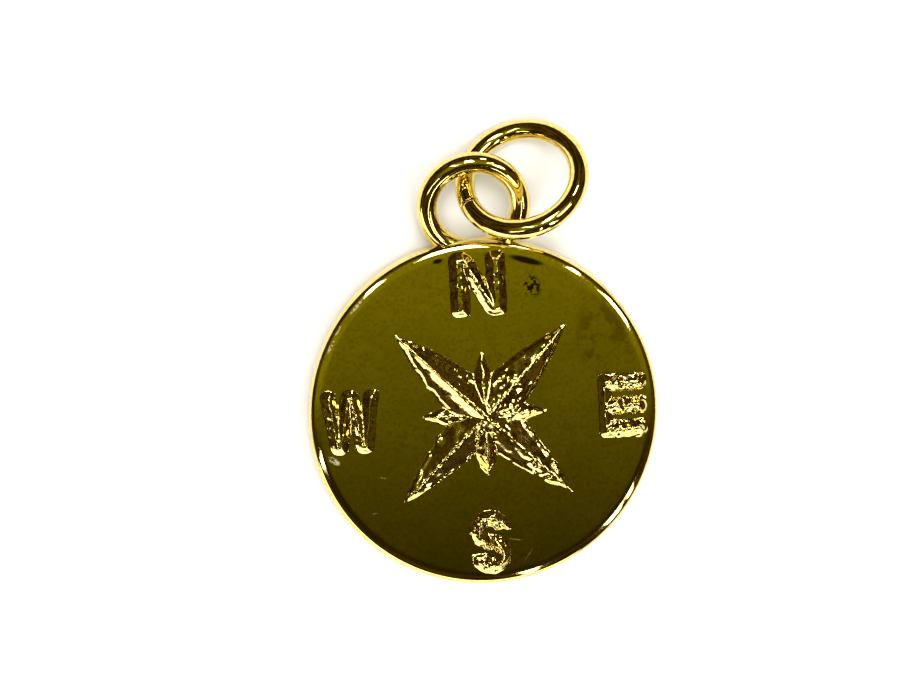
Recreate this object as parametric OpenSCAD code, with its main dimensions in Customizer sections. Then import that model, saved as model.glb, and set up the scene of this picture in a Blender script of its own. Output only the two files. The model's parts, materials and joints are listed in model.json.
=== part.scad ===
// Compass pendant: a small cast disc with a compass star and four cardinal letters in relief, a loop
// soldered to its top edge and an open jump ring through the loop. It lies on its back, in millimetres.
// The origin is the centre of the flat back. North is +Y, east is +X and the front faces +Z.

/* [Disc] */
// Diameter of the disc
disc_d = 15; // [13:0.5:30]
// Thickness of the disc
disc_t = 1.5; // [1.2:0.1:2]
// Radius of the rounded edge round the front face
front_round = 0.4; // [0.1:0.05:0.6]
// Radius of the rounded edge round the back
back_round = 0.25; // [0.05:0.05:0.5]

/* [Compass star] */
// Reach of the four long diagonal points from the centre
long_reach = 5; // [3.5:0.1:6]
// Width of a long leaf at the centre
long_w = 1.9; // [1.2:0.1:2.6]
// Reach of the four short points, which show the cardinal directions
short_reach = 2.55; // [1.8:0.05:3]
// Width of a short leaf at the centre
short_w = 1.15; // [0.6:0.05:1.6]
// Height of a long leaf's ridge above the face at the centre
long_ridge = 0.55; // [0.3:0.01:0.9]
// Slope of a long leaf's flanks across it
long_slope = 24; // [10:1:35]
// Height of a short leaf's ridge above the face at the centre
short_ridge = 0.45; // [0.25:0.01:0.8]
// Slope of a short leaf's flanks across it
short_slope = 32; // [10:1:45]
// Height of every leaf at its tips, to which the ridges fall
leaf_tip = 0.1; // [0.05:0.01:0.2]
// How much higher the leaf from north-west to south-east stands than the one that it crosses
leaf_over = 0.06; // [0:0.01:0.2]

/* [Letters] */
// Height of each letter in the plane of the face
letter_h = 2.75; // [2:0.05:3.2]
// Height of the letters above the face
letter_relief = 0.3; // [0.1:0.05:0.5]
// Bare ring of the face outside the letters
letter_margin = 0.1; // [0:0.05:1]
// Width of the N
n_w = 2.35; // [1.8:0.05:2.8]
// Width of the N's upright stems
n_stem = 0.79; // [0.5:0.01:0.85]
// Width of the E
e_w = 2.05; // [1.5:0.05:2.4]
// Width of the E's upright stem
e_stem = 0.5; // [0.3:0.01:0.8]
// Gap between the E's bars
e_gap = 0.28; // [0.15:0.01:0.5]
// Width of the S's stroke
s_stroke = 0.64; // [0.4:0.01:0.8]
// Width of the W between its outer top corners
w_w = 2.54; // [2.2:0.02:2.8]
// Width of the W across its two feet
w_feet = 1.74; // [1.5:0.02:2]
// Width of the W's strokes
w_stroke = 0.64; // [0.4:0.01:0.7]

/* [Loop] */
// Diameter of the loop's wire
loop_wire_d = 0.9; // [0.7:0.05:1.1]
// Inner diameter of the loop
loop_hole_d = 3.07; // [2.9:0.05:4]
// Angle by which the loop is tipped up out of the disc's plane
loop_tip = 17; // [14:0.5:24]

/* [Jump ring] */
// Diameter of the jump ring's wire
ring_wire_d = 0.86; // [0.6:0.02:1.04]
// Inner diameter of the jump ring
ring_hole_d = 4.04; // [3.5:0.05:6]
// Clearance between the jump ring's wire and the loop's
ring_gap = 0.08; // [0.05:0.01:0.2]
// Width of the cut between the ends of the jump ring's wire
ring_cut = 0.06; // [0.03:0.01:0.3]
// Direction in which the ring's low side lies, counter-clockwise from east
ring_low_az = 112; // [100:1:125]
// How far round from its low point the ring comes up through the loop
ring_rise = 73; // [68:1:82]
// Direction in the loop's plane in which the ring is pulled against the loop
ring_pull_az = 114; // [105:1:125]
// Where the wire's ends meet, counted round from the ring's low point
ring_cut_at = 92; // [0:1:359]

/* [Hidden] */

$fn = 96;
gold = [0.80, 0.69, 0.24];

disc_r = disc_d / 2;
face_r = disc_r - front_round;
// How deep the relief reaches into the disc, so that the cast metal is one solid
relief_root = 0.2;

// Outer ends of the letters, and the middle of an upright letter measured from the centre
letter_out = face_r - letter_margin;
letter_mid = letter_out - letter_h / 2;
e_bar = (letter_h - 2 * e_gap) / 3;
s_bowl_r = (letter_h + s_stroke) / 4;

loop_wire_r = loop_wire_d / 2;
loop_r = (loop_hole_d + loop_wire_d) / 2;
// The loop's foot is sunk into the rim by the wire's own diameter, at half the disc's thickness
loop_foot = [0, disc_r - loop_wire_r, disc_t / 2];
loop_across = [1, 0, 0];
loop_up = [0, cos(loop_tip), sin(loop_tip)];
loop_normal = [0, -sin(loop_tip), cos(loop_tip)];
loop_c = loop_foot + loop_r * loop_up;

ring_wire_r = ring_wire_d / 2;
ring_r = (ring_hole_d + ring_wire_d) / 2;
ring_cut_angle = 2 * asin(ring_cut / 2 / ring_r);
// Steps in which the clearance is measured round the ring, and halvings that find the ring's place
clearance_step = 3;
pull_halvings = 18;

// The jump ring leans in the loop. Its low side lies on the surface, and its wire comes up through the
// loop's hole at a place that is a distance s from the loop's centre. All of these follow from s.
function crossing(s) = loop_c + s * (cos(ring_pull_az) * loop_across + sin(ring_pull_az) * loop_up);
function ring_tilt(s) = asin((crossing(s).z - ring_wire_r) / (ring_r * (1 - cos(ring_rise))));
function ring_low(tilt) = [cos(ring_low_az) * cos(tilt), sin(ring_low_az) * cos(tilt), -sin(tilt)];
ring_side = [-sin(ring_low_az), cos(ring_low_az), 0];
function on_ring(tilt, a) = ring_r * (cos(a) * ring_low(tilt) + sin(a) * ring_side);
function ring_centre(s) = crossing(s) - on_ring(ring_tilt(s), ring_rise);

// Distance between the two wires' surfaces at a point of the ring's centre line, and the least of them
function wire_gap(p) =
    let (q = p - loop_c, h = q * loop_normal)
    norm([h, norm(q - h * loop_normal) - loop_r]) - loop_wire_r - ring_wire_r;
function clearance(s) =
    let (tilt = ring_tilt(s), c = ring_centre(s))
    min([for (a = [0 : clearance_step : 359]) wire_gap(c + on_ring(tilt, a))]);

// The ring is pulled outwards until only its clearance is left
function pulled(near, far, n) =
    let (s = (near + far) / 2)
    n == 0 ? near : clearance(s) > ring_gap ? pulled(s, far, n - 1) : pulled(near, s, n - 1);
ring_s = pulled(0, loop_r, pull_halvings);

module disc() {
    rotate_extrude() {
        square([face_r, disc_t]);
        square([disc_r - back_round, disc_t - front_round]);
        translate([0, back_round])
            square([disc_r, disc_t - front_round - back_round]);
        translate([face_r, disc_t - front_round])
            intersection() {
                circle(front_round);
                square(front_round);
            }
        translate([disc_r - back_round, back_round])
            intersection() {
                circle(back_round);
                translate([0, -back_round])
                    square(back_round);
            }
    }
}

// A leaf along X, pointed at both ends, between two arcs. Its four flanks fall from a ridge that is
// highest at the centre.
module leaf(reach, width, ridge, slope, tip) {
    arc_r = (pow(reach, 2) + pow(width / 2, 2)) / width;
    ridge_fall = atan((ridge - tip) / reach);
    span = 3 * reach;
    difference() {
        translate([0, 0, -relief_root])
            linear_extrude(relief_root + ridge)
                intersection() {
                    translate([0, arc_r - width / 2])
                        circle(arc_r, $fn = 360);
                    translate([0, width / 2 - arc_r])
                        circle(arc_r, $fn = 360);
                }
        for (end = [0, 180], side = [-1, 1])
            translate([0, 0, ridge])
                rotate([0, 0, end])
                    rotate([side * slope, ridge_fall, 0])
                        translate([-span / 2, -span / 2, 0])
                            cube([span, span, width + ridge]);
    }
}

module star() {
    translate([0, 0, disc_t]) {
        for (a = [0, 90])
            rotate(a)
                leaf(short_reach, short_w, short_ridge, short_slope, leaf_tip);
        rotate(45)
            leaf(long_reach, long_w, long_ridge, long_slope, leaf_tip);
        rotate(135)
            leaf(long_reach, long_w, long_ridge + leaf_over, long_slope, leaf_tip + leaf_over);
    }
}

// A slanted stroke from the top line to the bottom line, with its ends cut level
module stroke(top_x, bottom_x, width) {
    polygon([
        [top_x - width / 2, letter_h / 2],
        [top_x + width / 2, letter_h / 2],
        [bottom_x + width / 2, -letter_h / 2],
        [bottom_x - width / 2, -letter_h / 2],
    ]);
}

module letter_n() {
    stem_x = (n_w - n_stem) / 2;
    stroke(-stem_x, -stem_x, n_stem);
    stroke(stem_x, stem_x, n_stem);
    stroke(-stem_x, stem_x, n_stem);
}

module letter_e() {
    translate([-e_w / 2, -letter_h / 2]) {
        square([e_stem, letter_h]);
        for (i = [0 : 2])
            translate([0, i * (e_bar + e_gap)])
                square([e_w, e_bar]);
    }
}

// A ring of the S's stroke, without the quarter on the side that the letter leaves open
module s_bowl() {
    difference() {
        circle(s_bowl_r);
        circle(s_bowl_r - s_stroke);
        translate([0, -s_bowl_r])
            square(s_bowl_r);
    }
}

module letter_s() {
    bowl_y = s_bowl_r - s_stroke / 2;
    translate([0, bowl_y])
        s_bowl();
    translate([0, -bowl_y])
        rotate(180)
            s_bowl();
}

module letter_w() {
    top_x = (w_w - w_stroke) / 2;
    foot_x = (w_feet - w_stroke) / 2;
    for (side = [-1, 1]) {
        stroke(side * top_x, side * foot_x, w_stroke);
        stroke(0, side * foot_x, w_stroke);
    }
}

module raised(place) {
    translate([place.x, place.y, disc_t - relief_root])
        linear_extrude(relief_root + letter_relief)
            children();
}

module letters() {
    raised([0, letter_mid])
        letter_n();
    raised([letter_out - e_w / 2, 0])
        letter_e();
    raised([0, -letter_mid])
        letter_s();
    raised([w_w / 2 - letter_out, 0])
        letter_w();
}

module loop() {
    translate(loop_c)
        rotate([loop_tip, 0, 0])
            rotate_extrude()
                translate([loop_r, 0])
                    circle(loop_wire_r);
}

module compass_disc() {
    color(gold) {
        disc();
        star();
        letters();
        loop();
    }
}

module jump_ring() {
    color(gold)
        translate(ring_centre(ring_s))
            rotate([0, ring_tilt(ring_s), ring_low_az])
                rotate(ring_cut_at + ring_cut_angle / 2)
                    rotate_extrude(angle = 360 - ring_cut_angle)
                        translate([ring_r, 0])
                            circle(ring_wire_r);
}

compass_disc();
jump_ring();
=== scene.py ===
"""Compass pendant: a gold-plated cast disc with a soldered loop, and an open jump ring, on a pale table.

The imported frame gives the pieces' places. This script gives them their cast and polished surfaces, the
gold, the light and the camera. Shapes are worked out in millimetres and brought to metres at the end.
"""

import json
from math import atan2, cos, degrees, pi, radians, sin, tan

import bmesh
import bpy
import numpy as np
from mathutils import Matrix, Vector, noise


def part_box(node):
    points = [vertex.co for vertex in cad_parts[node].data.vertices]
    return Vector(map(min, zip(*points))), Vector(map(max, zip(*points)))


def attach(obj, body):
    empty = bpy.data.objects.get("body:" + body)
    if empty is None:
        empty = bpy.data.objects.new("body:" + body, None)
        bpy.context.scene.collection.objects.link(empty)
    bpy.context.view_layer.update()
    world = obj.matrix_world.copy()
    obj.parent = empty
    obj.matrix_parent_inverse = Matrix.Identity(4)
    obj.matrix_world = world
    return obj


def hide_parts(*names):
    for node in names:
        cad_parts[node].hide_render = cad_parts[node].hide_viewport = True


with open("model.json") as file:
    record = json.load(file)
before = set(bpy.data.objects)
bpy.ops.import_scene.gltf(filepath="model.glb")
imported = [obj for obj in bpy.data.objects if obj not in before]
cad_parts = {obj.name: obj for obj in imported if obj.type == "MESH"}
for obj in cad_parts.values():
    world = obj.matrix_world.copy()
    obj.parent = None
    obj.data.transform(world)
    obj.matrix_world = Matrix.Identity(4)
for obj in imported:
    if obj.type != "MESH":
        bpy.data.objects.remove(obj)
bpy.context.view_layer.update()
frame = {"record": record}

MM = 0.001
NORTH = Vector((0, 1, 0))
UP = Vector((0, 0, 1))

# The disc, from the frame's box, and its rounded edges
DISC_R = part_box("compass_disc")[1].x / MM
DISC_T = 1.5
FRONT_ROUND = 0.4
BACK_ROUND = 0.25
FACE_R = DISC_R - FRONT_ROUND

# The polish rolls the face off towards its edge, over this width and by this drop. The roll's inner and
# outer corners are softened over these lengths.
ROLL_W = 0.34
ROLL_DROP = 0.11
ROLL_SOFT = 0.17
EDGE_SOFT = 0.22
# Where the softened inner corner starts, and its radius
ROLL_FROM = DISC_R - ROLL_W - ROLL_SOFT
ROLL_R = ROLL_SOFT / tan(atan2(ROLL_DROP, ROLL_W) / 2)

# The spun blank's fineness. The edges of its section that are longer than LONG_EDGE are split this far from
# their outer ends, so that the flat face and back shade as flat. Vertices closer than MERGED become one.
CORNER_SEGMENTS = 12
BLANK_STEPS = 288
LONG_EDGE = 0.8
SPLIT_AT = 0.12
MERGED = 1e-4

# The star: four long diagonal points and four short cardinal ones, as leaves. The long leaf from
# north-west to south-east is the upper one and stands this much higher.
LONG_LEAF = {"reach": 5.0, "width": 1.9, "ridge": 0.55, "edge": 0.11}
SHORT_LEAF = {"reach": 2.55, "width": 1.15, "ridge": 0.45, "edge": 0.11}
LEAF_OVER = 0.06
# Powers of the flanks' hollow: the north-west arm's, and that of every other, whose flanks are straight
DEEP_HOLLOW = 1.5
HOLLOW = 1.0
# Width of the wall round each leaf, and how far outside the leaf's outline it starts
LEAF_WALL = 0.20
LEAF_FOOT = 0.1
# Least half width that a leaf is given, so that nothing is divided by none past its tips
LEAF_THINNEST = 1e-3
# Share by which the wall round the south-east, south-west, south and west arms is cast lower, and the
# length of their tips that keeps it whole
LOW_EDGE = 0.85
WHOLE_TIP = 0.5
# The broken bead along the feet of those arms: height, depth inside the outline and half width
BEAD_HEIGHT, BEAD_AT, BEAD_W = 0.065, 0.04, 0.1
# Share by which the south-east arm's ridge is cast lower than the north-west one's
LOW_SOUTH_EAST = 0.1
# Half the width of the polished flat along the upper leaf's ridge, and where it has run out
FLAT_RIDGE = 0.07
FLAT_REACH = 1.9
# The swelling of the south arm, which is a small leaf, and how far south of the centre it lies
SOUTH_SWELL = {"reach": 1.1, "width": 0.82, "ridge": 0.58, "edge": 0.11}
SOUTH_SWELL_AT = 1.5
# Share by which the west arm is cast lower, and how far west of the centre that starts
LOW_WEST = 0.25
LOW_WEST_FROM = 0.4

# The letters' height in the face's plane and above it, the width of their sloping walls, the share of the
# height that the walls have at the outline, and the rounding of the strokes' corners
LETTER_H = 2.75
LETTER_RELIEF = 0.25
LETTER_WALL = 0.34
LETTER_FOOT = 0.12
LETTER_CORNER = 0.26
# The bare ring of the face outside them, their outer ends, and the middle of an upright letter
LETTER_MARGIN = 0.1
LETTER_OUT = FACE_R - LETTER_MARGIN
LETTER_MID = LETTER_OUT - LETTER_H / 2
# Widths of the letters and of their stems and strokes, and the gap between the E's bars
N_W, N_STEM = 2.35, 0.79
E_W, E_STEM, E_GAP = 2.05, 0.5, 0.28
S_STROKE = 0.64
W_W, W_FEET, W_STROKE = 2.54, 1.74, 0.64

# The cast skin of the relief: its grid, how much of the face it covers outside the outlines, how far that
# margin is sunk into the face, how far down its sides reach, and how many times it is softened
SKIN_GRID = 0.036
SKIN_MARGIN = 0.16
SKIN_SUNK = 0.012
SKIN_ROOT = 0.2
SOFTENING = 3
# A depth that is outside every outline
FAR_OUTSIDE = -9.0
# Size of the casting's lumps and share of finer ones among them, on the E and elsewhere, and the finer ones'
# share of that size
EAST_LUMPS = 0.28, 0.12
LUMPS = 0.25, 0.4
FINER = 0.5
# Height of the lumps where the casting's roughness is 1
LUMP_HEIGHT = 0.05
# Height above the face from which the lumps are whole: on the star, and on the letters further out
LUMPS_WHOLE_STAR, LUMPS_WHOLE_LETTERS = 0.12, 0.05
# Over what distance and how far the casting strays from the drawn outlines, and the seeds of its two ways
OUTLINE_WAVES = 0.4
OUTLINE_STRAYS = 0.04
STRAY_SEEDS = 0, 5
# The seed of the breaks in the bead, and how sharp they are
BREAK_SEED, BREAK_SHARP = 9, 45

# How rough the casting is: the least of it, and by place
SMOOTHEST = 0.1
ROUGH = {
    "south-east arm": 1.0,
    "short arms": 0.5,
    "south arm": 1.1,
    "E": 1.9,
    "S": 1.35,
    "letters": 0.3,
    "ridges": 0.9,
    "feet": 0.6,
}
# Where each of these places starts, in the direction in which roughness() or whole_lumps() measures it, and
# the width over which it sets in. On the diagonals these are sums and differences of x and y.
BORDERS = {
    "south-east arm": (3.0, 1.5),
    "its lower flank": (-0.15, 0.2),
    "short arms": (-2.6, 0.6),
    "short arms but the south-west": (-0.7, 0.8),
    "calm south-east": (1.2, 0.8),
    "its upper flank": (-0.1, 0.3),
    "width of the south arm": (-0.5, 0.1),
    "south arm": (0.5, 0.3),
    "E": (5.3, 0.3),
    "S": (3.8, 0.4),
    "outside the star": (4.8, 0.8),
}
# How far out the star's rough places end, how far south the south arm's does, from how far out the letters
# are rough, and the half widths of the rough bands along ridges and feet
STAR_END = 5.4
SOUTH_ARM_END = -3
LETTERS_FROM = 5.2
RIDGE_BAND = 0.16
FOOT_BAND = 0.12

# Sides of a wire, and steps round the loop and the jump ring
WIRE_SIDES = 56
LOOP_STEPS = 192
RING_STEPS = 224

# The soldered loop, sunk into the rim by its wire's own diameter
LOOP_WIRE_R = 0.45
LOOP_R = 1.985
LOOP_TIP = radians(17)
LOOP_FOOT = Vector((0, DISC_R - LOOP_WIRE_R, DISC_T / 2))
# The solder at its two sides: place, and half width, depth and height. Then how close and how deep its slow
# and its fine unevenness are.
SOLDER = (((-1.22, 7.40, 0.86), (0.44, 0.34, 0.42)), ((1.16, 7.42, 0.84), (0.40, 0.32, 0.38)))
SOLDER_SAG = 1.7, 0.12
SOLDER_GRAIN = 5, 0.03

# The jump ring, whose centre and axis are the record's mount on it. Its cut is counted from its low side.
RING_MOUNT = next(m for m in frame["record"]["mounts"] if m["name"] == "ring_eye")
RING_CENTRE = Vector(RING_MOUNT["pos_m"]) / MM
RING_AXIS = Vector(RING_MOUNT["axis"]).normalized()
RING_R = 2.45
RING_WIRE_R = 0.43
RING_CUT = 0.06
RING_CUT_AT = radians(92)
CUT_END_ROUND = 0.03

# The gold: two shades of the plating, its specks, and the unevenness of its polish
DEEP_GOLD = (0.82, 0.67, 0.20, 1)
PALE_GOLD = (0.92, 0.73, 0.25, 1)
SPECK_GOLD = (0.73, 0.56, 0.15, 1)
SLOW_NOISE = {"Scale": 0.55, "Detail": 2.0}
FINE_NOISE = {"Scale": 1.6, "Detail": 3.0}
SPECK_NOISE = {"Scale": 7.0, "Detail": 2.0}
SHADES = 0.35, 0.65
SPECKS = 0.42, 0.72
POLISH_VARIES = 0.02
# Each finish's roughness, the height of its waves and the height of its grain
POLISHED = 0.03, 0.0012, 0.0
CAST = 0.09, 0.0012, 0.003
DRAWN_WIRE = 0.05, 0.0075, 0.0016

# Where the edge of a mark starts and ends, as shares of its half width and height
OVAL_EDGE = 1.0, 0.5
# Marks on the polished face: place, half width and height, turn in degrees. The dark patch and bars are
# darkening painted into the colour near the face's top.
DARK_PATCH = (2.28, 5.41, 0.5, 0.62, 20)
DARK_BARS = ((2.12, 6.52, 0.95, 0.18, -17), (-1.66, 6.7, 0.28, 0.13, 12))
DARK_COLOUR = (0.07, 0.04, 0.01, 1)
MARKS_BREAK = 0.44, 0.56
# A mottled darker, redder patch painted into the colour on the face's right; the roughness stays as it is
DARKER_RIGHT_PATCH = (5.3, 3.2, 1.5, 2.6, 0)
DARKER_RIGHT_COLOUR = (0.45, 0.28, 0.07, 1)
DARKER_RIGHT_BREAKS = 0.44, 0.60
DARKER_RIGHT_SHARE = 0.65
SCRATCHES = (
    (-4.48, -2.51, 0.22, 0.035, -12),
    (-4.94, -4.04, 0.18, 0.035, 8),
    (1.07, -5.58, 0.42, 0.03, -10),
    (1.60, -6.30, 0.45, 0.02, 55),
)
SCRATCH_ROUGHNESS = 0.22
# Painted glints: matte grey patches on the face, by the north-west edge and under the W, that stand in for
# highlights
GREY_GLINTS = (
    (-4.13, 5.92, 0.24, 0.07, 35),
    (-5.14, 5.03, 0.6, 0.08, 46),
    (-6.06, 3.98, 0.3, 0.07, 57),
    (-6.38, 3.34, 0.4, 0.08, 62),
    (-6.54, -1.63, 0.34, 0.16, -35),
)
GLINT_GREY = (0.36, 0.41, 0.38, 1)
GLINT_SHARE = 0.8

# The camera looks down at the pendant from a little north and west of straight above
IMAGE_W, IMAGE_H = 923, 693
DISC_AT_PX = (484.5, 414.0)
PX_PER_MM = 23.35
SENSOR = 36.0
LENS = 109.0
NEAREST = 0.001
CAMERA_TILT = radians(10.0)
CAMERA_AZ = radians(112.0)
PENDANT_TURN = radians(3.0)

# The table, in metres
TABLE_HALF = 3.0
PAPER_WHITE = (0.9, 0.9, 0.9, 1)
PAPER_ROUGHNESS = 0.7

# The room that the gold mirrors. It is ceiling up to one angle from the zenith and walls from another, and
# the ceiling darkens southwards between two angles.
DARK_WALL = (0.020, 0.010, 0.001, 1)
DIM_WALL = (0.095, 0.060, 0.005, 1)
WALL_NOISE = {"Scale": 5.0, "Detail": 3.0}
WALL_SHADES = 0.42, 0.66
DARK_CEILING = (0.022, 0.016, 0.001, 1)
CEILING = (0.222, 0.211, 0.003, 1)
CEILING_TO, WALLS_FROM = radians(17), radians(44)
CEILING_SOUTH, DARK_SOUTH = radians(3.5), radians(16)

# How far the lamps are from the pendant, in metres
LAMP_AWAY = 0.5
# Lamps that glint on the rolled edge, where the metal tilts by this much at least: place on the rim, length
# along it, greatest tilt and brightness
GLINT_TILT = 11
RIM_GLINTS = {
    "north_window": (98, 19, 22, 9),
    "north_west_lamp": (129, 7, 21, 9),
    "north_east_lamp": (53, 4, 21, 8),
    "east_north_east_lamp": (33, 13, 21, 9),
    "east_south_east_lamp": (326, 4, 21, 8),
    "south_east_lamp": (317, 8, 21, 9),
    "south_south_east_lamp": (283, 5, 21, 9),
    "west_south_west_lamp": (196, 5, 21, 8),
}
# Other lamps: azimuth, angle from the zenith, and then width, height and brightness. The strip lights the
# flanks and walls that face south-west, and the small lamp glints on the jump ring.
OTHER_LAMPS = {
    "south_west_strip": (252, 76.5, 92, 21, 2.8),
    "north_north_east_lamp": (67, 52, 6, 9, 14),
}
# The floor's own light
FLOOR_LIGHT_W = 74
FLOOR_LIGHT_AWAY = 1.0
FLOOR_BRIGHT = 1.95


def direction(azimuth, zenith):
    """The direction at an azimuth, counter-clockwise from east, and an angle from the zenith. Radians."""
    return Vector((sin(zenith) * cos(azimuth), sin(zenith) * sin(azimuth), cos(zenith)))


TOWARDS_CAMERA = direction(CAMERA_AZ, CAMERA_TILT)


class Wire:
    """A shader node's output. Arithmetic on it adds the Math nodes that work it out."""

    def __init__(self, tree, socket):
        self.tree = tree
        self.socket = socket

    @classmethod
    def node(cls, tree, kind, settings=None, sockets=None, output=0):
        """Adds a node, its settings and then its sockets, and gives the wire from one of its outputs."""
        made = tree.nodes.new(kind)
        for name, value in (settings or {}).items():
            setattr(made, name, value)
        for name, value in (sockets or {}).items():
            if isinstance(value, Wire):
                tree.links.new(value.socket, made.inputs[name])
            else:
                made.inputs[name].default_value = value
        return cls(tree, made.outputs[output])

    def to_output(self, kind):
        """Ends the tree in its output node."""
        self.tree.links.new(self.socket, self.tree.nodes.new(kind).inputs["Surface"])

    def maths(self, operation, *values):
        sockets = dict(enumerate(values))
        return Wire.node(self.tree, "ShaderNodeMath", {"operation": operation}, sockets)

    def __add__(self, other):
        return self.maths("ADD", self, other)

    def __sub__(self, other):
        return self.maths("SUBTRACT", self, other)

    def __rsub__(self, other):
        return self.maths("SUBTRACT", other, self)

    def __mul__(self, other):
        return self.maths("MULTIPLY", self, other)

    __radd__ = __add__
    __rmul__ = __mul__

    def ramp(self, start, end):
        """0 below start, 1 above end, and a smooth rise between them."""
        settings = {"interpolation_type": "SMOOTHSTEP"}
        sockets = {"Value": self, "From Min": start, "From Max": end}
        return Wire.node(self.tree, "ShaderNodeMapRange", settings, sockets)


def smooth_step(value):
    """The smooth rise from 0 to 1, for numbers and numpy arrays."""
    t = np.clip(value, 0, 1)
    return t * t * (3 - 2 * t)


def past(border, value):
    """0 up to one of the BORDERS, 1 well past it, and a smooth rise between them."""
    start, width = BORDERS[border]
    return smooth_step((value - start) / width)


def leaf(x, y, turn, upper, broken, reach, width, ridge, edge):
    """Height of one leaf, depth inside its outline, negative outside it, and distance from its ridge."""
    along = x * cos(turn) + y * sin(turn)
    power = np.where(along > 0, DEEP_HOLLOW if upper else HOLLOW, HOLLOW)
    south = smooth_step(-along)
    along = np.abs(along)
    wall = edge * (1 - LOW_EDGE * south * smooth_step(reach - along - WHOLE_TIP))
    across = np.abs(y * cos(turn) - x * sin(turn))
    beside = np.maximum(across - FLAT_RIDGE * upper * smooth_step(FLAT_REACH - along), 0)
    arc_r = (reach**2 + (width / 2) ** 2) / width
    arc_offset = arc_r - width / 2
    depth = arc_r - np.hypot(along, across + arc_offset)
    half = np.maximum(np.sqrt(np.maximum(arc_r**2 - along**2, 0)) - arc_offset, LEAF_THINNEST)
    crest = (ridge - edge) * half / (width / 2) * np.clip(1 - beside / half, 0, 1) ** power
    crest = crest * (1 - LOW_SOUTH_EAST * south * upper)
    bead = BEAD_HEIGHT * south * broken * np.clip(1 - np.abs(depth - BEAD_AT) / BEAD_W, 0, 1)
    return wall * np.clip((depth + LEAF_FOOT) / LEAF_WALL, 0, 1) + crest + bead, depth, across


def bar(x, y, top_x, bottom_x, width, height):
    """Depth inside a slanted stroke with level ends and rounded corners."""
    lean = (top_x - bottom_x) / height
    middle = (top_x + bottom_x) / 2 + lean * y
    from_side = LETTER_CORNER - (width / 2 - np.abs(x - middle)) / np.hypot(1, lean)
    from_end = LETTER_CORNER - (height / 2 - np.abs(y))
    outside = np.hypot(np.maximum(from_side, 0), np.maximum(from_end, 0))
    return LETTER_CORNER - outside - np.minimum(np.maximum(from_side, from_end), 0)


def letter_n(x, y):
    stem_x = (N_W - N_STEM) / 2
    strokes = [(-stem_x, -stem_x), (stem_x, stem_x), (-stem_x, stem_x)]
    return np.maximum.reduce([bar(x, y, top, foot, N_STEM, LETTER_H) for top, foot in strokes])


def letter_e(x, y):
    bar_h = (LETTER_H - 2 * E_GAP) / 3
    stem_x = (E_STEM - E_W) / 2
    strokes = [bar(x, y, stem_x, stem_x, E_STEM, LETTER_H)]
    strokes += [bar(x, y - i * (bar_h + E_GAP), 0, 0, E_W, bar_h) for i in (-1, 0, 1)]
    return np.maximum.reduce(strokes)


def s_bowl(x, y, bowl_r):
    """Depth inside one bowl of the S, which is open in its lower right quarter."""
    band = S_STROKE / 2 - np.abs(np.hypot(x, y) - (bowl_r - S_STROKE / 2))
    return np.minimum(band, np.maximum(-x, y))


def letter_s(x, y):
    bowl_r = (LETTER_H + S_STROKE) / 4
    bowl_y = bowl_r - S_STROKE / 2
    return np.maximum(s_bowl(x, y - bowl_y, bowl_r), s_bowl(-x, -y - bowl_y, bowl_r))


def letter_w(x, y):
    top_x = (W_W - W_STROKE) / 2
    foot_x = (W_FEET - W_STROKE) / 2
    strokes = [(side * top, side * foot_x) for side in (-1, 1) for top in (top_x, 0)]
    return np.maximum.reduce([bar(x, y, top, foot, W_STROKE, LETTER_H) for top, foot in strokes])


def uneven(x, y, seed):
    """How far the casting strays from the drawn outlines."""
    places = zip(x / OUTLINE_WAVES, y / OUTLINE_WAVES)
    return OUTLINE_STRAYS * np.array([noise.noise(Vector((a, b, seed))) for a, b in places])


def star(x, y):
    """Height of the star above the face, depth inside its outlines, and nearness to ridges and to feet."""
    broken = smooth_step(0.5 + BREAK_SHARP * uneven(x, y, BREAK_SEED))
    height = np.zeros_like(x)
    depth = np.full_like(x, FAR_OUTSIDE)
    ridges = np.zeros_like(x)
    for turn, sizes, upper in (
        (0, SHORT_LEAF, False),
        (pi / 2, SHORT_LEAF, False),
        (pi / 4, LONG_LEAF, False),
        (3 * pi / 4, LONG_LEAF, True),
    ):
        raised = {**sizes, "ridge": sizes["ridge"] + LEAF_OVER * upper}
        leaf_height, leaf_depth, from_ridge = leaf(x, y, turn, upper, broken, **raised)
        if turn == 0:
            leaf_height = leaf_height * (1 - LOW_WEST * smooth_step(-x - LOW_WEST_FROM))
        height = np.maximum(height, leaf_height)
        depth = np.maximum(depth, leaf_depth)
        if not upper:
            near = np.clip(1 - from_ridge / RIDGE_BAND, 0, 1) * (leaf_depth > 0)
            ridges = np.maximum(ridges, near)
    feet = np.clip(1 - np.abs(depth) / FOOT_BAND, 0, 1)
    swell_height, swell_depth, _ = leaf(x, y + SOUTH_SWELL_AT, pi / 2, False, 0, **SOUTH_SWELL)
    return np.maximum(height, swell_height), np.maximum(depth, swell_depth), ridges, feet


def letters(x, y):
    """Height of the letters above the face, and depth inside their outlines."""
    depth = np.full_like(x, FAR_OUTSIDE)
    for shape, place_x, place_y in (
        (letter_n, 0, LETTER_MID),
        (letter_e, LETTER_OUT - E_W / 2, 0),
        (letter_s, 0, -LETTER_MID),
        (letter_w, W_W / 2 - LETTER_OUT, 0),
    ):
        depth = np.maximum(depth, shape(x - place_x, y - place_y))
    return LETTER_RELIEF * np.clip(depth / LETTER_WALL + LETTER_FOOT, 0, 1), depth


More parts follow.
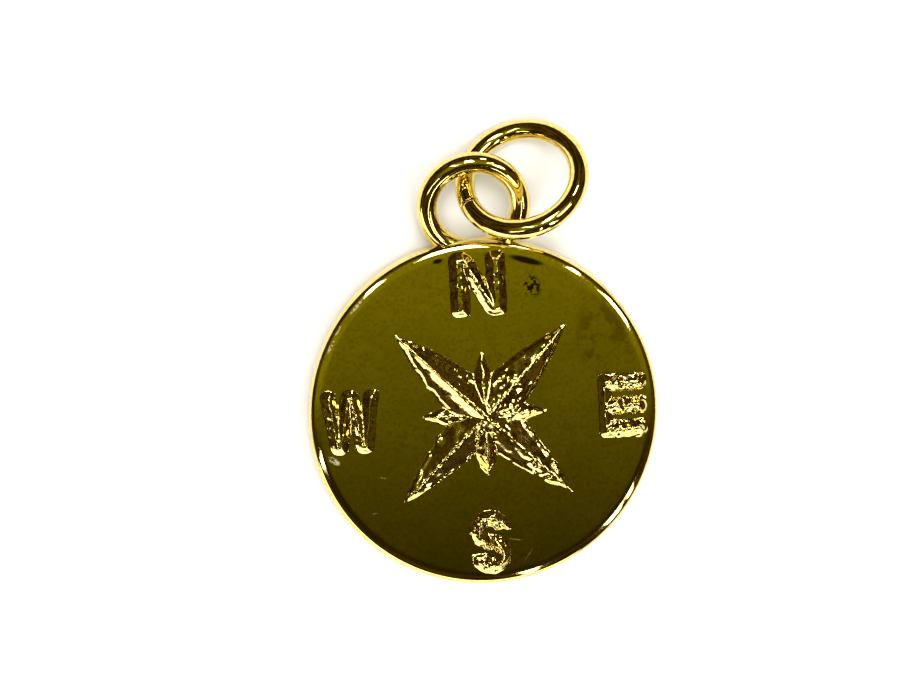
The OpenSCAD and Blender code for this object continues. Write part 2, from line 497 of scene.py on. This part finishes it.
def roughness(x, y, ridges, feet):
    """How rough the casting is at each place. Nearness to ridges and to feet makes it rough as well."""
    from_centre = np.hypot(x, y)
    on_star = from_centre < STAR_END
    lower_flank = past("south-east arm", x - y) * past("its lower flank", -x - y) * on_star
    upper_flank = past("calm south-east", x - y) * past("its upper flank", x + y) * on_star
    short_arms = past("short arms", -from_centre) * past("short arms but the south-west", x + y)
    south_arm = past("width of the south arm", -np.abs(x)) * past("south arm", -y) * (y > SOUTH_ARM_END)
    rough = np.maximum.reduce([
        ROUGH["south-east arm"] * lower_flank,
        ROUGH["short arms"] * short_arms * (1 - upper_flank),
        ROUGH["south arm"] * south_arm,
        ROUGH["E"] * past("E", x),
        ROUGH["S"] * past("S", -y),
        ROUGH["letters"] * (from_centre > LETTERS_FROM),
        ROUGH["ridges"] * ridges,
        ROUGH["feet"] * feet,
    ])
    return SMOOTHEST + (1 - SMOOTHEST) * rough


def relief(x, y):
    """Height of the relief above the face, depth inside its outlines, and how rough its casting is."""
    across, up = (uneven(x, y, seed) for seed in STRAY_SEEDS)
    x, y = x + across, y + up
    star_height, star_depth, ridges, feet = star(x, y)
    letter_height, letter_depth = letters(x, y)
    height = np.maximum(star_height, letter_height)
    depth = np.maximum(star_depth, letter_depth)
    return height, depth, roughness(x, y, ridges, feet)


def lump(place):
    """Height of the casting's lumps at a place, as a share of what they may have there."""
    size, finer = EAST_LUMPS if place.x > LETTER_OUT - E_W else LUMPS
    return noise.noise(place / size) + finer * noise.noise(place / (FINER * size))


def whole_lumps(place):
    """How whole the lumps are at a place: not at all on the face, wholly on top of the relief."""
    outside = past("outside the star", place.xy.length)
    return smooth_step(place.z / (LUMPS_WHOLE_STAR + (LUMPS_WHOLE_LETTERS - LUMPS_WHOLE_STAR) * outside))


def cast_skin():
    """The star and letters as one cast skin: a fine grid cut back to them, lifted, softened and lumped."""
    bm = bmesh.new()
    cells = round(2 * FACE_R / SKIN_GRID)
    bmesh.ops.create_grid(bm, x_segments=cells, y_segments=cells, size=FACE_R)
    x = np.array([v.co.x for v in bm.verts])
    y = np.array([v.co.y for v in bm.verts])
    height, depth, rough = relief(x, y)
    rough_layer = bm.verts.layers.float.new("rough")
    for v, h, r in zip(bm.verts, height, rough):
        v.co.z = h
        v[rough_layer] = r
    bm.verts.ensure_lookup_table()
    bare = [bm.verts[i] for i in np.nonzero(depth < -SKIN_MARGIN)[0]]
    bmesh.ops.delete(bm, geom=bare, context="VERTS")
    # A cell that would hang on by a corner alone is left out too
    lone = [face for face in bm.faces if all(e.is_boundary for e in face.edges)]
    bmesh.ops.delete(bm, geom=lone, context="FACES")
    inner = [v for v in bm.verts if not v.is_boundary]
    for _ in range(SOFTENING):
        bmesh.ops.smooth_vert(bm, verts=inner, factor=0.5, use_axis_z=True)
    for v in bm.verts:
        rolled = max(v.co.xy.length - ROLL_FROM, 0) ** 2 / (2 * ROLL_R)
        lumped = whole_lumps(v.co) * v[rough_layer] * LUMP_HEIGHT * lump(v.co)
        v.co.z += lumped + DISC_T - SKIN_SUNK - rolled
    bm.verts.layers.float.remove(rough_layer)
    sides = bmesh.ops.extrude_edge_only(bm, edges=[e for e in bm.edges if e.is_boundary])
    for v in sides["geom"]:
        if isinstance(v, bmesh.types.BMVert):
            v.co.z = DISC_T - SKIN_ROOT
    bmesh.ops.holes_fill(bm, edges=[e for e in bm.edges if e.is_boundary])
    for face in bm.faces:
        face.material_index = 1
    return bm


def blank():
    """The round blank, spun from half of its section, whose corners are rounded."""
    bm = bmesh.new()
    corners = [(0, 0), (DISC_R, 0), (DISC_R, DISC_T - ROLL_DROP), (DISC_R - ROLL_W, DISC_T), (0, DISC_T)]
    points = [bm.verts.new((x, 0, z)) for x, z in corners]
    for pair in zip(points, points[1:]):
        bm.edges.new(pair)
    for corner, size in ((points[1], BACK_ROUND), (points[2], EDGE_SOFT), (points[3], ROLL_SOFT)):
        bmesh.ops.bevel(bm, geom=[corner], offset=size, segments=CORNER_SEGMENTS, profile=0.5,
                        affect="VERTICES", material=-1)
    straight = [e for e in bm.edges if e.calc_length() > LONG_EDGE]
    for edge in straight:
        outer = max(edge.verts, key=lambda v: v.co.x)
        bmesh.utils.edge_split(edge, outer, SPLIT_AT / edge.calc_length())
    bmesh.ops.spin(bm, geom=bm.verts[:] + bm.edges[:], axis=(0, 0, 1), cent=(0, 0, 0), angle=2 * pi,
                   steps=BLANK_STEPS, use_merge=True)
    bmesh.ops.remove_doubles(bm, verts=bm.verts[:], dist=MERGED)
    bmesh.ops.recalc_face_normals(bm, faces=bm.faces[:])
    return bm


def wire_ring(radius, wire_r, steps, cut=0.0):
    """A ring of round wire about Z, closed, or open by a cut that starts at +X."""
    bm = bmesh.new()
    bmesh.ops.create_circle(bm, segments=WIRE_SIDES, radius=wire_r)
    stand = Matrix.Translation((radius, 0, 0)) @ Matrix.Rotation(pi / 2, 4, "X")
    bmesh.ops.transform(bm, matrix=stand, verts=bm.verts[:])
    closed = cut == 0
    bmesh.ops.spin(bm, geom=bm.verts[:] + bm.edges[:], axis=(0, 0, 1), cent=(0, 0, 0),
                   angle=2 * pi - cut, steps=steps, use_merge=closed)
    if not closed:
        ends = bmesh.ops.holes_fill(bm, edges=[e for e in bm.edges if e.is_boundary])["faces"]
        rims = list({e for face in ends for e in face.edges})
        bmesh.ops.bevel(bm, geom=rims, offset=CUT_END_ROUND, segments=2, profile=0.5, affect="EDGES",
                        material=-1)
    bmesh.ops.recalc_face_normals(bm, faces=bm.faces[:])
    return bm


def soldered_loop():
    bm = wire_ring(LOOP_R, LOOP_WIRE_R, LOOP_STEPS)
    up = Vector((0, cos(LOOP_TIP), sin(LOOP_TIP)))
    place = Matrix.Translation(LOOP_FOOT + LOOP_R * up) @ Matrix.Rotation(LOOP_TIP, 4, "X")
    bmesh.ops.transform(bm, matrix=place, verts=bm.verts[:])
    for face in bm.faces:
        face.material_index = 2
    return bm


def solder(place, size):
    """A drop of solder that has run between the loop's wire and the rim."""
    bm = bmesh.new()
    bmesh.ops.create_icosphere(bm, subdivisions=5, radius=1.0)
    sag_close, sag_deep = SOLDER_SAG
    grain_close, grain_deep = SOLDER_GRAIN
    for v in bm.verts:
        sag = sag_deep * noise.noise(v.co * sag_close + Vector(place))
        v.co *= 1 + sag + grain_deep * noise.noise(v.co * grain_close)
    bmesh.ops.scale(bm, vec=size, verts=bm.verts[:])
    bmesh.ops.translate(bm, vec=place, verts=bm.verts[:])
    for face in bm.faces:
        face.material_index = 1
    return bm


def open_ring():
    """The jump ring. Its own X axis points to its low side, from which the cut is counted."""
    bm = wire_ring(RING_R, RING_WIRE_R, RING_STEPS, cut=RING_CUT / RING_R)
    low = (RING_AXIS.z * RING_AXIS - UP).normalized()
    side = RING_AXIS.cross(low)
    lean = Matrix((low, side, RING_AXIS)).transposed().to_4x4()
    turn = Matrix.Rotation(RING_CUT_AT + RING_CUT / RING_R / 2, 4, "Z")
    bmesh.ops.transform(bm, matrix=Matrix.Translation(RING_CENTRE) @ lean @ turn, verts=bm.verts[:])
    return bm


def piece(name, forms, node, golds):
    """One piece from its forms, in metres, riding with the frame in the place of a CAD node."""
    joined = bmesh.new()
    for form in forms:
        part = bpy.data.meshes.new("part")
        form.to_mesh(part)
        form.free()
        joined.from_mesh(part)
        bpy.data.meshes.remove(part)
    bmesh.ops.scale(joined, vec=(MM, MM, MM), verts=joined.verts[:])
    for face in joined.faces:
        face.smooth = True
    mesh = bpy.data.meshes.new(name)
    joined.to_mesh(mesh)
    joined.free()
    for gold in golds:
        mesh.materials.append(gold)
    made = bpy.data.objects.new(name, mesh)
    bpy.context.scene.collection.objects.link(made)
    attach(made, "root")
    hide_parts(node)
    return made


def tree_mix(tree, factor, first, second):
    """The first colour where the factor is 0, the second where it is 1."""
    sockets = {"Factor": factor, "A": first, "B": second}
    return Wire.node(tree, "ShaderNodeMix", {"data_type": "RGBA"}, sockets, output="Result")


def oval(tree, place, x, y, half_w, half_h, turn):
    """1 inside a soft oval on the face and 0 outside it. Millimetres and degrees."""
    sockets = {
        "Vector": place,
        "Location": (x, y, DISC_T),
        "Rotation": (0, 0, radians(turn)),
        "Scale": (half_w, half_h, 1),
    }
    inside = Wire.node(tree, "ShaderNodeMapping", {"vector_type": "TEXTURE"}, sockets)
    settings = {"operation": "LENGTH"}
    distance = Wire.node(tree, "ShaderNodeVectorMath", settings, {0: inside}, output="Value")
    return distance.ramp(*OVAL_EDGE)


def gold(name, finish, marked=False):
    """Gold plating with one of the finishes: waves are the polish's unevenness, grain the casting's."""
    base_roughness, waves, grain = finish
    material = bpy.data.materials.new(name)
    material.use_nodes = True
    tree = material.node_tree
    tree.nodes.clear()
    place = Wire.node(tree, "ShaderNodeTexCoord", output="Object")
    place = Wire.node(tree, "ShaderNodeVectorMath", {"operation": "SCALE"}, {0: place, "Scale": 1 / MM})
    slow = Wire.node(tree, "ShaderNodeTexNoise", {}, {"Vector": place, **SLOW_NOISE})
    fine = Wire.node(tree, "ShaderNodeTexNoise", {}, {"Vector": place, **FINE_NOISE})
    speck = Wire.node(tree, "ShaderNodeTexNoise", {}, {"Vector": place, **SPECK_NOISE})
    colour = tree_mix(tree, slow.ramp(*SHADES), DEEP_GOLD, PALE_GOLD)
    colour = tree_mix(tree, speck.ramp(*SPECKS), colour, SPECK_GOLD)
    rough = slow * POLISH_VARIES + base_roughness
    metallic = 1.0
    if marked:
        broken = speck.ramp(*MARKS_BREAK)
        # Dark patch and bars painted into the polished face's colour near its top
        darkened = oval(tree, place, *DARK_PATCH) * broken
        for dark in DARK_BARS:
            darkened = darkened + oval(tree, place, *dark)
        colour = tree_mix(tree, darkened, colour, DARK_COLOUR)
        # Mottled darker, redder patch painted into the colour on the face's right
        darker_right = oval(tree, place, *DARKER_RIGHT_PATCH) * fine.ramp(*DARKER_RIGHT_BREAKS)
        colour = tree_mix(tree, darker_right * DARKER_RIGHT_SHARE, colour, DARKER_RIGHT_COLOUR)
        # Painted glints: matte grey patches on the face that show as grey highlights
        painted_glints = sum(oval(tree, place, *spot) for spot in GREY_GLINTS) * broken * GLINT_SHARE
        colour = tree_mix(tree, painted_glints, colour, GLINT_GREY)
        metallic = 1 - painted_glints
        for scratch in SCRATCHES:
            rough = rough + oval(tree, place, *scratch) * SCRATCH_ROUGHNESS
    sockets = {"Strength": 1.0, "Distance": MM, "Height": fine * waves + speck * grain}
    skin = Wire.node(tree, "ShaderNodeBump", {}, sockets)
    sockets = {"Base Color": colour, "Metallic": metallic, "Roughness": rough, "Normal": skin}
    metal = Wire.node(tree, "ShaderNodeBsdfPrincipled", {}, sockets)
    metal.to_output("ShaderNodeOutputMaterial")
    return material


def camera():
    """The camera at the photograph's angle, aimed so that the disc falls where the photograph has it."""
    data = bpy.data.cameras.new("camera")
    data.sensor_width = SENSOR
    data.lens = LENS
    data.clip_start = NEAREST
    towards = TOWARDS_CAMERA
    up = (NORTH - NORTH.dot(towards) * towards).normalized()
    up.rotate(Matrix.Rotation(-PENDANT_TURN, 3, towards))
    right = up.cross(towards)
    distance = IMAGE_W / PX_PER_MM * LENS / SENSOR * MM
    off_x = (DISC_AT_PX[0] - IMAGE_W / 2) / PX_PER_MM * MM
    off_y = (IMAGE_H / 2 - DISC_AT_PX[1]) / PX_PER_MM * MM
    target = Vector((0, 0, DISC_T * MM)) - off_x * right - off_y * up
    axes = Matrix((right, up, towards)).transposed().to_4x4()
    made = bpy.data.objects.new("camera", data)
    made.matrix_world = Matrix.Translation(target + distance * towards) @ axes
    bpy.context.scene.collection.objects.link(made)
    bpy.context.scene.camera = made


def floor():
    """The table, of plain white paper."""
    bm = bmesh.new()
    bmesh.ops.create_grid(bm, x_segments=1, y_segments=1, size=TABLE_HALF)
    mesh = bpy.data.meshes.new("floor")
    bm.to_mesh(mesh)
    bm.free()
    made = bpy.data.objects.new("floor", mesh)
    bpy.context.scene.collection.objects.link(made)
    paper = bpy.data.materials.new("paper_white")
    paper.use_nodes = True
    shader = paper.node_tree.nodes["Principled BSDF"]
    shader.inputs["Base Color"].default_value = PAPER_WHITE
    shader.inputs["Roughness"].default_value = PAPER_ROUGHNESS
    mesh.materials.append(paper)


def softbox(name, towards, up, width, height, brightness, away=LAMP_AWAY):
    """A soft lamp in a direction from the pendant, from where it looks that wide and high, in degrees."""
    data = bpy.data.lights.new(name, "AREA")
    data.shape = "RECTANGLE"
    data.size = 2 * away * tan(radians(width) / 2)
    data.size_y = 2 * away * tan(radians(height) / 2)
    data.energy = brightness * pi * data.size * data.size_y
    made = bpy.data.objects.new(name, data)
    side = up.cross(towards).normalized()
    axes = Matrix((side, towards.cross(side), towards)).transposed().to_4x4()
    made.matrix_world = Matrix.Translation(away * towards) @ axes
    made.visible_camera = False
    bpy.context.scene.collection.objects.link(made)
    return made


def mirrored(azimuth, tilt):
    """The direction that the camera sees in the rim at an azimuth, where the metal tilts that far out."""
    facet = direction(radians(azimuth), radians(tilt))
    return 2 * facet.dot(TOWARDS_CAMERA) * facet - TOWARDS_CAMERA


def rim_glint(name, azimuth, length, high, brightness):
    """A lamp that glints on the disc's rolled edge at an azimuth, over a length of the rim, in degrees.

    Its light reaches the camera from metal that tilts outwards by GLINT_TILT at least and high at most.
    """
    low = GLINT_TILT
    middle = (low + high) / 2
    towards = mirrored(azimuth, middle)
    up = mirrored(azimuth, low) - towards
    width = mirrored(azimuth - length / 2, middle).angle(mirrored(azimuth + length / 2, middle))
    height = mirrored(azimuth, low).angle(mirrored(azimuth, high))
    softbox(name, towards, up, degrees(width), degrees(height), brightness)


def room():
    """A dim warm ceiling, bright overhead and to the north and dark to the south, above brown walls."""
    world = bpy.data.worlds.new("room")
    bpy.context.scene.world = world
    world.use_nodes = True
    tree = world.node_tree
    tree.nodes.clear()
    towards = Wire.node(tree, "ShaderNodeTexCoord", output="Generated")
    up = Wire.node(tree, "ShaderNodeSeparateXYZ", {}, {0: towards}, output="Z")
    north = Wire.node(tree, "ShaderNodeSeparateXYZ", {}, {0: towards}, output="Y")
    clutter = Wire.node(tree, "ShaderNodeTexNoise", {}, {"Vector": towards, **WALL_NOISE})
    walls = tree_mix(tree, clutter.ramp(*WALL_SHADES), DARK_WALL, DIM_WALL)
    ceiling = tree_mix(tree, north.ramp(-sin(DARK_SOUTH), -sin(CEILING_SOUTH)), DARK_CEILING, CEILING)
    colour = tree_mix(tree, up.ramp(cos(WALLS_FROM), cos(CEILING_TO)), walls, ceiling)
    shine = Wire.node(tree, "ShaderNodeBackground", {}, {"Color": colour, "Strength": 1.0})
    shine.to_output("ShaderNodeOutputWorld")


def lamps():
    """The lamps that the gold mirrors, and the floor's own light, which is kept off the gold.

    The gold would mirror it all over the face.
    """
    for name, sizes in RIM_GLINTS.items():
        rim_glint(name, *sizes)
    for name, (azimuth, zenith, *sizes) in OTHER_LAMPS.items():
        softbox(name, direction(radians(azimuth), radians(zenith)), UP, *sizes)
    floor_light = softbox("floor_light", UP, NORTH, FLOOR_LIGHT_W, FLOOR_LIGHT_W, FLOOR_BRIGHT,
                          away=FLOOR_LIGHT_AWAY)
    floor_light.visible_glossy = False


# The disc's faces name the finishes in this order: the blank's, the cast relief's and solder's, the loop's
finish_polished = gold("gold_polished", POLISHED, marked=True)
finish_cast = gold("gold_cast", CAST)
finish_wire = gold("gold_wire", DRAWN_WIRE)

drops = [solder(place, size) for place, size in SOLDER]
piece("compass_disc_cast", [blank(), cast_skin(), soldered_loop(), *drops], "compass_disc",
      [finish_polished, finish_cast, finish_wire])
piece("jump_ring_wire", [open_ring()], "jump_ring", [finish_wire])

camera()
floor()
room()
lamps()
bpy.context.scene.view_settings.view_transform = "Standard"
